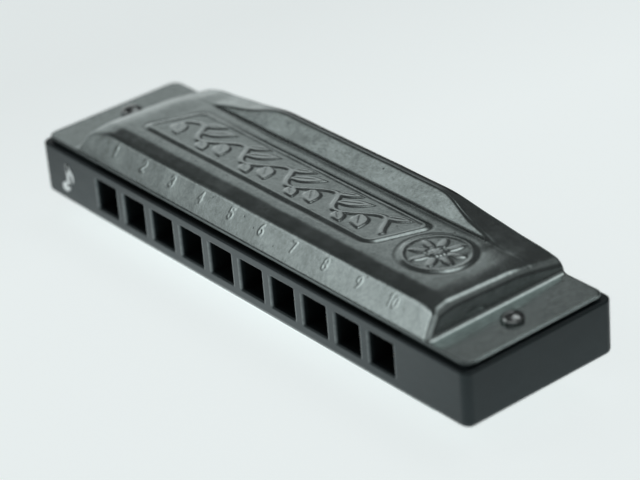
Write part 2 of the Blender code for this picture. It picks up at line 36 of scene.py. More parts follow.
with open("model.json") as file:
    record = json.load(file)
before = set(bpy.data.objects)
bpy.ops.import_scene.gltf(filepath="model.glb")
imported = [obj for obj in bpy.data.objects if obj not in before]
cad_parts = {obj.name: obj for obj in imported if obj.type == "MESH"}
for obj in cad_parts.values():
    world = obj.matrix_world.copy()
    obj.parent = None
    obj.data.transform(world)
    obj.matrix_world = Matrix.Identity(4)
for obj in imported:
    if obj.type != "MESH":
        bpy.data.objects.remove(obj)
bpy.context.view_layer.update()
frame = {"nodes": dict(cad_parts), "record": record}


# ---------------------------------------------------------------- helpers


def smoothstep(t):
    t = np.clip(t, 0.0, 1.0)
    return t * t * (3 - 2 * t)


def smooth_min(a, b, k):
    """The lower of a and b, with a fillet where they are within k of each other."""
    h = np.clip(0.5 + 0.5 * (b - a) / k, 0.0, 1.0)
    return b + (a - b) * h - k * h * (1 - h)


def smooth_max(a, b, k):
    return -smooth_min(-a, -b, k)


def hole_x(number):
    return (number - (HOLES + 1) / 2) * PITCH


def eased_table(xs, values, blur):
    """A function through the table's points, its kinks blurred over a length."""
    grid = np.arange(xs[0] - 4 * blur, xs[-1] + 4 * blur, TABLE_STEP)
    line = np.interp(grid, xs, values)
    kernel = np.exp(-0.5 * (np.arange(-3 * blur, 3 * blur + TABLE_STEP, TABLE_STEP) / blur) ** 2)
    pad = len(kernel) // 2
    padded = np.concatenate([np.full(pad, line[0]), line, np.full(pad, line[-1])])
    smooth = np.convolve(padded, kernel / kernel.sum(), "same")[pad : pad + len(line)]
    return lambda x: np.interp(x, grid, smooth)


def segment_distance(px, py, a, b):
    ax, ay = a
    dx, dy = b[0] - ax, b[1] - ay
    length = max(dx * dx + dy * dy, 1e-12)
    t = np.clip(((px - ax) * dx + (py - ay) * dy) / length, 0, 1)
    return np.hypot(px - ax - t * dx, py - ay - t * dy)


def path_distance(px, py, path):
    best = np.full(px.shape, 1e3)
    for a, b in zip(path, path[1:]):
        best = np.minimum(best, segment_distance(px, py, a, b))
    return best


def arc(cx, cy, rx, ry, start, end, steps=14):
    angles = np.radians(np.linspace(start, end, steps + 1))
    return [(cx + rx * math.cos(a), cy + ry * math.sin(a)) for a in angles]


def box_distance(px, py, cx, cy, half_x, half_y, radius):
    """Signed distance to a rounded rectangle, negative inside."""
    qx = np.abs(px - cx) - half_x + radius
    qy = np.abs(py - cy) - half_y + radius
    outside = np.hypot(np.maximum(qx, 0), np.maximum(qy, 0))
    return outside + np.minimum(np.maximum(qx, qy), 0) - radius


def rounded_bar(distance, half_width):
    """A round-topped raised line, 1 at its middle and 0 at its sides."""
    return 0.5 + 0.5 * np.cos(math.pi * np.clip(distance / half_width, 0, 1))


def bead(distance, at, half_width, height):
    """A round line at one distance from an edge: it stands up, or is a groove where its height is negative."""
    return height * rounded_bar(np.abs(distance - at), half_width)


def piece(name, mesh, material, replaced=None):
    """A shown object with its material; where it stands for a CAD node, that node is hidden."""
    obj = bpy.data.objects.new(name, mesh)
    bpy.context.scene.collection.objects.link(obj)
    mesh.materials.clear()
    mesh.materials.append(material)
    if replaced:
        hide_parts(replaced)
    return obj


def mesh_of(bm, name, smooth_angle=35):
    bmesh.ops.recalc_face_normals(bm, faces=bm.faces)
    mesh = bpy.data.meshes.new(name)
    bm.to_mesh(mesh)
    bm.free()
    mesh.shade_smooth()
    mesh.set_sharp_from_angle(angle=math.radians(smooth_angle))
    return mesh


# ---------------------------------------------------------------- cover shape, in mm

SHEET = 0.42
FLANGE_Z = 5.4
BASE_Z = 4.97  # the flanges' underside
END_X = 51.1
LOWER_SHARE = 0.99  # the lower cover's length as a share, which keeps its flanges out of sight
CORNER = 1.6
EDGE_ROLL = 0.12  # rounding of the sheet's cut edge
FRONT_Y = -13.4
REAR_Y = 13.3
REAR_ROLL = 0.6  # the lip starts to turn down this far before the rear
FOOT_X = 42.95
END_SLOPE = 3.3
SLOPE = 1.086
FRONT_BULGE, BULGE_DEPTH = 0.022, 3
CREST_RADIUS = 0.42
LIP_RADIUS = 0.95
FOOT_RADIUS, LEAST_FOOT, FOOT_FADE = 0.62, 0.005, 0.6
VALLEY_Y, VALLEY_Z = 7.92, 8.66  # where the panel meets the lens-shaped rise before the lip
LENS_SLOPE = 0.727
LENS_BLEND, ROOF_BLEND = 0.3, 0.25
END_SAG_X, END_SAG = 37.6, 0.016
LEFT_SAG_X, LEFT_SAG = 36.5, 0.03
SEARCH_BELOW, SEARCH_TOP, SEARCH_STEPS = 0.3, 12.0, 22
NAIL_X, NAIL_Y = 47.0, 0.9

# The panel's height by y, the lip's height by distance from the middle, and the roof's rise forward from the lip.
panel_height = eased_table(
    [-10.8, -9.6, -8.7, -7.75, -7.3, -6.0, -3.0, 0.0, 3.0, 4.6, 5.4, 6.4, 7.0, 7.6, 8.4, 9.4],
    [8.78, 9.0, 9.165, 9.335, 9.355, 9.34, 9.2, 9.08, 8.97, 8.94, 8.91, 8.84, 8.77, 8.67, 8.54, 8.4],
    0.2,
)
edge_height = eased_table(
    [0, 19, 21, 25, 29, 33, 37, 41, 44],
    [10.1, 10.1, 9.95, 9.5, 9.02, 8.5, 8.1, 7.72, 7.5],
    0.8,
)
roof_slope = eased_table(
    [0, 19.5, 22, 24.5, 27, 31, 34, 37, 41, 44],
    [0.47, 0.47, 0.34, 0.17, 0.1, 0.09, 0.05, 0.09, 0.15, 0.17],
    0.7,
)


def round_and(a, b, r):
    """Distance to where two solids overlap, its edge rounded to a radius."""
    return np.minimum(np.maximum(a, b), -r) + np.hypot(np.maximum(a + r, 0), np.maximum(b + r, 0))


def round_or(a, b, r):
    """Distance to two solids together, the corner between them filled to a radius."""
    return np.maximum(np.minimum(a, b), r) - np.hypot(np.maximum(r - a, 0), np.maximum(r - b, 0))


def dome_height(x, y):
    """The plain pressed shape, before its relief: the height where the distance to its rounded solid is nothing."""
    across = np.abs(x)
    behind = np.clip(y - FRONT_Y, 0, BULGE_DEPTH)
    front = FLANGE_Z + (y - FRONT_Y) * SLOPE + FRONT_BULGE * behind * (BULGE_DEPTH - behind)
    lens = VALLEY_Z + (y - VALLEY_Y) * LENS_SLOPE
    roof = edge_height(across) + roof_slope(across) * (REAR_Y - y)
    top = smooth_min(smooth_max(panel_height(y), lens, LENS_BLEND), roof, ROOF_BLEND)
    top = top - END_SAG * np.maximum(x - END_SAG_X, 0) ** 2 - LEFT_SAG * np.maximum(-x - LEFT_SAG_X, 0) ** 2
    low, high = np.full(top.shape, FLANGE_Z - SEARCH_BELOW), np.full(top.shape, SEARCH_TOP)
    for _ in range(SEARCH_STEPS):
        z = (low + high) / 2
        front_gap = (z - front) / math.hypot(1, SLOPE)
        end_gap = ((across - FOOT_X) * END_SLOPE + z - FLANGE_Z) / math.hypot(1, END_SLOPE)
        dome = round_and(round_and(front_gap, z - top, CREST_RADIUS), end_gap, LIP_RADIUS)
        foot = FOOT_RADIUS * smoothstep((end_gap - front_gap) / FOOT_FADE + 0.5) + LEAST_FOOT
        outside = round_or(dome, z - FLANGE_Z, foot) > 0
        low, high = np.where(outside, low, z), np.where(outside, z, high)
    return (low + high) / 2


DIGITS = {
    "0": [arc(0, 0, 0.5, 1, 0, 360)],
    "1": [[(-0.3, 0.6), (0.05, 1), (0.05, -1)]],
    "2": [arc(0, 0.5, 0.5, 0.5, 165, -40) + [(-0.5, -1), (0.5, -1)]],
    "3": [arc(0, 0.5, 0.45, 0.5, 150, -90), arc(0, -0.48, 0.5, 0.52, 90, -150)],
    "4": [[(0.2, -1), (0.2, 1), (-0.5, -0.35), (0.5, -0.35)]],
    "5": [[(0.45, 1), (-0.4, 1), (-0.45, 0.15)] + arc(0, -0.38, 0.5, 0.62, 120, -150)],
    "6": [arc(0, -0.45, 0.5, 0.55, 0, 360), arc(0.35, -0.45, 0.85, 1.45, 180, 100)],
    "7": [[(-0.5, 1), (0.5, 1), (-0.1, -1)]],
    "8": [arc(0, 0.52, 0.42, 0.48, 0, 360), arc(0, -0.48, 0.5, 0.52, 0, 360)],
    "9": [arc(0, 0.45, 0.5, 0.55, 0, 360), arc(-0.35, 0.45, 0.85, 1.45, 0, -80)],
}
DIGIT_Y = -11.45
DIGIT_HALF = 0.85  # half a digit's height up the slope, the unit of DIGITS and of the spacing
DIGIT_SPACING = 1.3
DIGIT_STROKE = 0.26  # half a stroke's width
DIGIT_RAISE = 0.055
DIGIT_REACH_X, DIGIT_REACH_UP = 2.4, 1.5  # no number reaches past these


def numeral_relief(x, y):
    """Hole numbers pressed into the front slope."""
    raised = np.zeros_like(x)
    up = (y - DIGIT_Y) * math.hypot(1, SLOPE) / DIGIT_HALF
    for number in range(1, HOLES + 1):
        centre = hole_x(number)
        near = (np.abs(x - centre) < DIGIT_REACH_X) & (np.abs(up) < DIGIT_REACH_UP)
        across = (x[near] - centre) / DIGIT_HALF
        text = str(number)
        for place, digit in enumerate(text):
            shift = (place - (len(text) - 1) / 2) * DIGIT_SPACING
            for path in DIGITS[digit]:
                distance = path_distance(across - shift, up[near], path) * DIGIT_HALF
                raised[near] = np.maximum(raised[near], DIGIT_RAISE * rounded_bar(distance, DIGIT_STROKE))
    return raised


PANEL_X = (-33.5, 22.6)
PANEL_Y = (-5.2, 5.2)
PANEL_LEAN = 0.3
PANEL_CORNER = 1.8
PANEL_RAISE, PANEL_SIDE = 0.12, 0.7  # the band and the rosette stand this high, with sides this wide
VINE_RAISE = 0.13
VINE_START, VINE_END = PANEL_X[0] + 1.8, PANEL_X[1] - 1.2
VINE_WAVE = 11.2
VINE_SWING = 1.9
STEM_HALF, STEM_SIDE, STEM_TAPER = 0.42, 0.5, 0.8
LEAVES = 9
# A leaf in the hollow and one over the crest: root, tip and half width, from where the stem crosses its middle line.
LEAF_PAIR = (((0.3, 0.0), (4.4, -3.3), 1.25), ((3.2, 1.9), (6.6, 3.9), 0.95))
LEAF_MIDDLE, LEAF_REACH = 3, 6
LEAF_SIDE, LEAF_VEIN, VEIN_DEPTH = 0.55, 0.28, 0.35
ROSETTE = (30.4, 0.1)
ROSETTE_RADIUS = 5.7
PETALS, PETAL_TURN = 8, 0.25
PETAL_ROOT, PETAL_LENGTH, PETAL_RAISE = 1.6, 2.9, 0.14
BUTTON_RADIUS, BUTTON_RAISE = 1.2, 0.08


def leaf_relief(x, y, root, tip, half_width):
    """A pointed leaf from root to tip with a soft rim and a pressed vein, 1 at its raised face."""
    length = math.hypot(tip[0] - root[0], tip[1] - root[1])
    ux, uy = (tip[0] - root[0]) / length, (tip[1] - root[1]) / length
    along = ((x - root[0]) * ux + (y - root[1]) * uy) / length
    side = np.abs((y - root[1]) * ux - (x - root[0]) * uy)
    inside = np.clip(along, 0, 1)
    half = half_width * np.sin(math.pi * inside**0.8)
    face = smoothstep((half - side - 2 * length * np.abs(along - inside)) / LEAF_SIDE + 0.45)
    return face * (1 - VEIN_DEPTH * rounded_bar(side, LEAF_VEIN) * smoothstep((0.8 - along) / 0.2))


def vine_relief(x, y):
    """A running vine: a waving stem with a leaf in each hollow and one over each crest."""
    phase = (x - VINE_START) * 2 * math.pi / VINE_WAVE
    steepness = VINE_SWING * 2 * math.pi / VINE_WAVE * np.cos(phase)
    stem = np.abs(y - VINE_SWING * np.sin(phase)) / np.sqrt(1 + steepness**2)
    raised = smoothstep((STEM_HALF - stem) / STEM_SIDE + 0.5)
    raised = raised * smoothstep((x - VINE_START) / STEM_TAPER) * smoothstep((VINE_END - x) / STEM_TAPER)
    for leaf in range(LEAVES):
        crossing = VINE_START + leaf * VINE_WAVE / 2
        way = 1 if leaf % 2 == 0 else -1
        near = np.abs(x - crossing - LEAF_MIDDLE) < LEAF_REACH
        for (root_x, root_y), (tip_x, tip_y), half in LEAF_PAIR:
            root, tip = (crossing + root_x, root_y * way), (crossing + tip_x, tip_y * way)
            raised[near] = np.maximum(raised[near], leaf_relief(x[near], y[near], root, tip, half))
    return raised


def panel_relief(x, y):
    """A raised band filled with a running vine, and a petalled rosette beside it."""
    middle_x, half_x = sum(PANEL_X) / 2, (PANEL_X[1] - PANEL_X[0]) / 2
    middle_y, half_y = sum(PANEL_Y) / 2, (PANEL_Y[1] - PANEL_Y[0]) / 2
    lean = x - (y - middle_y) * PANEL_LEAN
    edge = box_distance(lean, y, middle_x, middle_y, half_x, half_y, PANEL_CORNER)
    raised = PANEL_RAISE * smoothstep(0.5 - edge / PANEL_SIDE)
    raised += bead(edge, 0.45, 0.35, -0.035)
    raised += bead(edge, -0.6, 0.55, 0.06)
    raised += VINE_RAISE * vine_relief(lean, y - middle_y)
    dx, dy = x - ROSETTE[0], y - ROSETTE[1]
    radius, angle = np.hypot(dx, dy), np.arctan2(dy, dx)
    rim = radius - ROSETTE_RADIUS
    disc = PANEL_RAISE * smoothstep(0.5 - rim / PANEL_SIDE)
    disc += bead(rim, 0.5, 0.45, -0.03)
    disc += bead(rim, -0.6, 0.6, 0.08)
    petal = np.cos(PETALS / 2 * (angle + PETAL_TURN)) ** 2
    reach = PETAL_ROOT + PETAL_LENGTH * petal**0.6
    disc += PETAL_RAISE * smoothstep((reach - radius) / 0.9 + 0.3) * (0.75 + 0.25 * petal)
    disc += bead(radius, 1.5, 0.45, -0.08)
    disc += BUTTON_RAISE * np.sqrt(np.clip(1 - (radius / BUTTON_RADIUS) ** 2, 0, 1))
    return raised + disc


def sheet_waves(x, y):
    """The slight unevenness of pressed sheet."""
    slow = np.sin(0.31 * x + 0.42 * y + 0.7) + np.sin(0.47 * x - 0.33 * y + 2.1) + 0.7 * np.sin(0.83 * x + 0.61 * y)
    return 0.012 * slow + 0.004 * np.sin(1.7 * x - 1.1 * y + 1.0) * np.sin(0.9 * x + 1.6 * y)


ARCH_DROP, ARCH_END, ARCH_FADE = 1.75, 38.6, 1.6


def rear_bottom(x):
    """Where the rear wall stops: at the comb near the ends, and in an arch under the lip between them."""
    across = np.abs(x)
    arch = edge_height(across) - ARCH_DROP
    side = smoothstep((ARCH_END - across) / ARCH_FADE)
    return BASE_Z + (arch - BASE_Z) * side


WALL_OUT, WALL_IN = 44.2, 40.0  # the end wall lies between these
FLANGE_STEP, WALL_STEP, PROFILE_STEP = 0.35, 0.11, 0.002


def place_columns(step):
    """x of the grid's columns, evenly spaced along the sheet where it turns down at the ends."""
    corner = [END_X - CORNER * (1 - math.cos(math.radians(a))) for a in np.linspace(0, 90, 13)]
    flange = list(np.arange(corner[-1] - FLANGE_STEP, WALL_OUT + 0.1, -FLANGE_STEP))
    dense = np.arange(WALL_OUT, WALL_IN, -PROFILE_STEP)
    profile = dome_height(dense, np.zeros_like(dense))
    travel = np.concatenate([[0], np.cumsum(np.hypot(np.diff(dense), np.diff(profile)))])
    wall = list(np.interp(np.arange(0, travel[-1], WALL_STEP), travel, dense))
    middle = list(np.linspace(WALL_IN, 0.0, int(WALL_IN / step) + 1))
    half = corner + flange + wall + middle
    return np.array([-v for v in half] + half[-2::-1])


RELIEF_FADE = 1.5  # the relief comes in over this height above the flanges
FRONT_ROWS_END = 4.6  # rows are closer up to this distance from the front edge
INNER_ROWS = 40
PROBE = 0.02  # for slopes
RIDGE_Y, RIDGE_SHIFT = 11.9, 0.9  # the lip's ridge, further back outside the middle
# painted shade: rows along the cover's front edge, and the inner skin, darker still at its front edge
FRONT_EDGE_SHADE = [0.95, 0.85, 0.6, 0.25]
INSIDE_SHADE, FRONT_INSIDE_SHADE = 0.3, 0.95


def cover_mesh(name, step, with_numbers):
    """The cover as one closed sheet: a fine outer skin with relief, and a plain inner skin under it."""
    xs = place_columns(step)
    edge_rows = [0.0, 0.02, 0.06, 0.12]
    front_rows = list(np.arange(0.2, FRONT_ROWS_END, step * 0.75))
    top_end = REAR_Y - REAR_ROLL - FRONT_Y
    top_rows = list(np.linspace(FRONT_ROWS_END, top_end, int((top_end - FRONT_ROWS_END) / (step * 1.15))))
    rows = np.array(edge_rows + front_rows + top_rows) + FRONT_Y
    into = np.clip(np.abs(xs) - (END_X - CORNER), 0, CORNER)
    inset = CORNER - np.sqrt(np.clip(CORNER**2 - into**2, 0, None))
    middle_y = (FRONT_Y + REAR_Y) / 2
    squeeze = 1 - inset / (REAR_Y - middle_y)

    def grid(row_values):
        gx = np.repeat(xs[:, None], len(row_values), 1)
        gy = middle_y + (np.repeat(row_values[None, :], len(xs), 0) - middle_y) * squeeze[:, None]
        return gx, gy

    gx, gy = grid(rows)
    gz = dome_height(gx, gy)
    inside = smoothstep((gz - FLANGE_Z) / RELIEF_FADE)
    relief = panel_relief(gx, gy)
    if with_numbers:
        relief = relief + numeral_relief(gx, gy)
    gz = gz + (relief + sheet_waves(gx, gy)) * inside
    outline = box_distance(gx, gy, 0, middle_y, END_X, REAR_Y - middle_y, CORNER)
    into_edge = np.clip(1 + outline / EDGE_ROLL, 0, 1)
    gz = gz - EDGE_ROLL * (1 - np.sqrt(1 - into_edge**2))

    # the rolled rear edge and the wall below it
    rear_y = middle_y + (REAR_Y - middle_y) * squeeze
    bottom = rear_bottom(xs)
    last_y, last_z = gy[:, -1], gz[:, -1]
    radius = np.minimum(rear_y - last_y, (last_z - bottom) * 0.6)
    rear = []
    for angle in np.radians([15, 30, 45, 60, 75, 90]):
        roll_y = last_y + (rear_y - last_y) * math.sin(angle)
        roll_z = last_z - radius * (1 - math.cos(angle))
        rear.append(np.stack([xs, roll_y, roll_z], -1))
    wall_top = last_z - radius
    for share in (0.2, 0.4, 0.6, 0.8, 1.0):
        rear.append(np.stack([xs, rear_y, wall_top + (bottom - wall_top) * share], -1))
    outer = np.concatenate([np.stack([gx, gy, gz], -1), np.stack(rear, 1)], 1)

    # the inner skin, from the rear wall's bottom back to the front edge
    ix, iy = grid(np.concatenate([[FRONT_Y], np.linspace(FRONT_Y + 0.6, REAR_Y - SHEET, INNER_ROWS)]))
    slope_x = (dome_height(ix + PROBE, iy) - dome_height(ix - PROBE, iy)) / (2 * PROBE)
    slope_y = (dome_height(ix, iy + PROBE) - dome_height(ix, iy - PROBE)) / (2 * PROBE)
    iz = np.maximum(dome_height(ix, iy) - SHEET * np.sqrt(1 + slope_x**2 + slope_y**2), BASE_Z)
    inner_top = iz[:, -1]
    inner_bottom = np.minimum(bottom, inner_top)
    down = [
        np.stack([xs, iy[:, -1], inner_top + (inner_bottom - inner_top) * share], -1)
        for share in (0.35, 0.7, 1.0)
    ]
    inner = np.concatenate([np.stack([ix, iy, iz], -1), np.stack(down, 1)], 1)[:, ::-1]

    # darker behind the lip's ridge; painted shade in the valley, in grooves, along the front edge and inside; wear on
    # raised parts
    across, along_y = np.abs(outer[:, :, 0]), outer[:, :, 1]
    ridge_y = RIDGE_Y + RIDGE_SHIFT * smoothstep((across - 19) / 4)
    painted_shade = smoothstep((along_y - ridge_y) / 0.35) * smoothstep((43 - across) / 0.5)
    crease = np.exp(-(((along_y - VALLEY_Y + 0.1) / 0.3) ** 2)) * smoothstep((34 - across) / 3)
    painted_shade = np.maximum(painted_shade, 0.75 * crease)
    groove = np.clip(-relief, 0, 0.05) / 0.05
    relief_rows = relief.shape[1]
    painted_shade[:, :relief_rows] = np.maximum(painted_shade[:, :relief_rows], 0.5 * groove)
    painted_shade[:, : len(FRONT_EDGE_SHADE)] = np.maximum(painted_shade[:, : len(FRONT_EDGE_SHADE)], FRONT_EDGE_SHADE)
    worn = np.zeros(outer.shape[:2])
    worn[:, :relief_rows] = smoothstep((relief - 0.12) / 0.16) * smoothstep((gy + 8) / 2)
    inner_shade = np.full(inner.shape[:2], INSIDE_SHADE)
    inner_shade[:, -1] = FRONT_INSIDE_SHADE
    painted_shade = np.concatenate([painted_shade, inner_shade], 1)
    worn = np.concatenate([worn, np.zeros(inner.shape[:2])], 1)

    loop = np.concatenate([outer, inner], 1)
    columns, per_loop = loop.shape[:2]
    verts = loop.reshape(-1, 3) * MM
    index = np.arange(columns * per_loop).reshape(columns, per_loop)
    after = np.roll(index, -1, 1)
    quads = np.stack([index[:-1], index[1:], after[1:], after[:-1]], -1).reshape(-1, 4)
    faces = quads.tolist() + [index[0].tolist(), index[-1][::-1].tolist()]
    mesh = bpy.data.meshes.new(name)
    mesh.from_pydata(verts.tolist(), [], faces)
    # the first attribute carries the painted shade, the second the wear
    for label, values in (("painted_shade", painted_shade), ("worn", worn)):
        layer = mesh.attributes.new(label, "FLOAT", "POINT")
        layer.data.foreach_set("value", values.reshape(-1).astype(np.float32))
    bm = bmesh.new()
    bm.from_mesh(mesh)
    bmesh.ops.remove_doubles(bm, verts=bm.verts, dist=0.002 * MM)
    bpy.data.meshes.remove(mesh)
    return mesh_of(bm, name, 40)


# ---------------------------------------------------------------- comb, nails and mark


def rounded_outline(half_x, half_y, radius, segments):
    points = []
    for sx, sy, start in ((1, 1, 0), (-1, 1, 90), (-1, -1, 180), (1, -1, 270)):
        for step in range(segments + 1):
            angle = math.radians(start + 90 * step / segments)
            x = sx * (half_x - radius) + radius * math.cos(angle)
            y = sy * (half_y - radius) + radius * math.sin(angle)
            points.append((x, y))
    return points


def bridge(bm, rings):
    """Joins rings of vertices, one after another, and closes both ends."""
    for near, far in zip(rings, rings[1:]):
        for i in range(len(near)):
            j = (i + 1) % len(near)
            bm.faces.new([near[i], near[j], far[j], far[i]])
    bm.faces.new(rings[0])
    bm.faces.new(rings[-1])


def stacked(outlines):
    """A bmesh through outlines of (x, y, z) points, closed at both ends."""
    bm = bmesh.new()
    bridge(bm, [[bm.verts.new((x * MM, y * MM, z * MM)) for x, y, z in outline] for outline in outlines])
    return bm


def prism(outline, z0, z1):
    return stacked([[(x, y, z) for x, y in outline] for z in (z0, z1)])


COMB_X, COMB_Y, COMB_Z = 51.8, 14.3, 4.9
COMB_CORNER, LEAST_CORNER = 1.5, 0.5
COMB_EDGE, LEDGE_EDGE = 0.95, 0.4
LEDGE, LEDGE_Z = 1.25, 4.36
HOLE_HALF, HOLE_RIM, HOLE_CORNER = 2.63, 0.45, 0.25
RIM_HIGHLIGHT_LINE = 2.95  # from a hole's middle to the painted highlight line on its rim
MOUTH_DEPTH, MOUTH_Z = 3.3, 2.55
CHAMBER_X, CHAMBER_Z = 2.6, 3.5
LONGEST_REED, SHORTEST_REED = 15.5, 9.0
BLOW_RIVET_Y, DRAW_TIP_Y = -9.0, -9.5
ROOT_OFFSET = 1.7  # from a reed's rivet to its slot
BEHIND_SLOT, BEHIND_RIVET = 0.7, 1.2
POCKET_X, POCKET_Y, POCKET_Z = 45.2, 12.1, 3.1
POCKET_CORNER, POCKET_SHIFT = 1.2, 0.1
SCREWS = [(-41.0, -6.0), (41.0, -6.0), (-41.0, 8.4), (41.0, 8.4), (0.0, 9.4)]
SCREW_BORE, NAIL_BORE = 0.75, 0.85
OVERRUN = 6.0  # height or depth past the comb that its cutters reach


def comb_block():
    """The comb's rounded block; its top steps down to a ledge, which leaves a dark gap under the cover's edge."""
    levels = []
    for angle in np.radians(np.linspace(0, 90, 9)):
        levels.append((COMB_EDGE * (1 - math.sin(angle)), -COMB_Z + COMB_EDGE * (1 - math.cos(angle))))
    for angle in np.radians(np.linspace(90, 0, 7)):
        levels.append((LEDGE_EDGE * (1 - math.sin(angle)), LEDGE_Z - LEDGE_EDGE * (1 - math.cos(angle))))
    levels += [(LEDGE, LEDGE_Z), (LEDGE, COMB_Z)]
    outlines = []
    for inset, z in levels:
        radius = max(COMB_CORNER - inset, LEAST_CORNER)
        outlines.append([(x, y, z) for x, y in rounded_outline(COMB_X - inset, COMB_Y - inset, radius, 10)])
    return stacked(outlines)


def hole_cutter(x, rear_y):
    """A mouth hole with a softened rim that opens into its taller chamber."""
    front = -COMB_Y
    widest = HOLE_HALF + HOLE_RIM
    stations = [(front - 1, widest, widest), (front - 0.001, widest, widest)]
    for angle in np.radians([15, 30, 45, 60, 75, 90]):
        half = HOLE_HALF + HOLE_RIM * (1 - math.sin(angle))
        stations.append((front + HOLE_RIM * (1 - math.cos(angle)), half, half))
    mouth_end = front + MOUTH_DEPTH
    stations += [(mouth_end, CHAMBER_X, MOUTH_Z), (mouth_end + 0.001, CHAMBER_X, CHAMBER_Z)]
    stations.append((rear_y, CHAMBER_X, CHAMBER_Z))
    bm = bmesh.new()
    rings = []
    for y, half_x, half_z in stations:
        ring = rounded_outline(half_x, half_z, HOLE_CORNER, 3)
        rings.append([bm.verts.new(Vector((x + dx, y, z)) * MM) for dx, z in ring])
    bridge(bm, rings)
    return bm


def chamber_rear(number):
    """The chamber ends behind the blow reed's slot or the draw reed's rivet, whichever is further back."""
    reed = LONGEST_REED + (SHORTEST_REED - LONGEST_REED) * (number - 1) / (HOLES - 1)
    return max(BLOW_RIVET_Y + ROOT_OFFSET + reed + BEHIND_SLOT, DRAW_TIP_Y + reed + ROOT_OFFSET + BEHIND_RIVET)


def cylinder_cutter(x, y, radius, z0, z1, segments=24):
    angles = np.linspace(0, 2 * math.pi, segments, endpoint=False)
    return prism([(x + radius * math.cos(a), y + radius * math.sin(a)) for a in angles], z0, z1)


def comb_mesh():
    body = bpy.data.objects.new("comb_pattern", mesh_of(comb_block(), "comb_pattern"))
    bpy.context.scene.collection.objects.link(body)
    group = bpy.data.collections.new("comb_cutters")
    bpy.context.scene.collection.children.link(group)
    cutters = [hole_cutter(hole_x(n), chamber_rear(n)) for n in range(1, HOLES + 1)]
    pocket = [(x, y - POCKET_SHIFT) for x, y in rounded_outline(POCKET_X, POCKET_Y, POCKET_CORNER, 6)]
    cutters += [prism(pocket, POCKET_Z, OVERRUN), prism(pocket, -OVERRUN, -POCKET_Z)]
    for x, y in SCREWS:
        cutters.append(cylinder_cutter(x, y, SCREW_BORE, -OVERRUN, OVERRUN))
    for side in (-1, 1):
        cutters.append(cylinder_cutter(side * NAIL_X, -side * NAIL_Y, NAIL_BORE, 0, OVERRUN))
        cutters.append(cylinder_cutter(side * NAIL_X, side * NAIL_Y, NAIL_BORE, -OVERRUN, 0))
    helpers = []
    for i, bm in enumerate(cutters):
        obj = bpy.data.objects.new(f"comb_cut_{i}", mesh_of(bm, f"comb_cut_{i}"))
        group.objects.link(obj)
        helpers.append(obj)
    cut = body.modifiers.new("cut", "BOOLEAN")
    cut.operation = "DIFFERENCE"
    cut.operand_type = "COLLECTION"
    cut.collection = group
    cut.solver = "EXACT"
    bpy.context.view_layer.update()
    mesh = bpy.data.meshes.new_from_object(body.evaluated_get(bpy.context.evaluated_depsgraph_get()))
    mesh.name = "moulded_comb"
    for obj in [body, *helpers]:
        bpy.data.objects.remove(obj, do_unlink=True)
    bpy.data.collections.remove(group)
    mesh.shade_smooth()
    mesh.set_sharp_from_angle(angle=math.radians(32))
    return mesh


def lathe(profile, segments, x, y, z, up):
    """Spins (radius, height) about a vertical axis at x and y, with heights measured up or down from z."""
    bm = bmesh.new()
    verts = [bm.verts.new((r * MM, 0, h * MM)) for r, h in profile]
    edges = [bm.edges.new(pair) for pair in zip(verts, verts[1:])]
    bmesh.ops.spin(bm, geom=verts + edges, axis=(0, 0, 1), angle=2 * math.pi, steps=segments)
    bmesh.ops.remove_doubles(bm, verts=bm.verts, dist=0.0005 * MM)
    turn = Matrix.Identity(4) if up > 0 else Matrix.Rotation(math.pi, 4, "X")
    bmesh.ops.transform(bm, matrix=Matrix.Translation((x * MM, y * MM, z * MM)) @ turn, verts=bm.verts)
    return bm


NAIL_HEAD, NAIL_RIM, NAIL_RISE = 1.77, 0.24, 0.82
NAIL_SEGMENTS = 40


def nail_profile():
    """(radius, height) up a pointed shank and over a domed head."""
    shank = [(0.0, -4.4), (0.12, -4.38), (0.3, -4.1), (0.62, -3.75), (0.8, -3.5), (0.8, 0.0)]
    head = [(1.6, 0.0), (1.7, 0.04), (1.76, 0.14), (NAIL_HEAD, NAIL_RIM)]
    for angle in np.radians(np.linspace(8, 90, 14)):
        head.append((NAIL_HEAD * math.cos(angle), NAIL_RIM + NAIL_RISE * math.sin(angle)))
    head[-1] = (0.0, NAIL_RIM + NAIL_RISE)
    return shank + head


# ---------------------------------------------------------------- materials


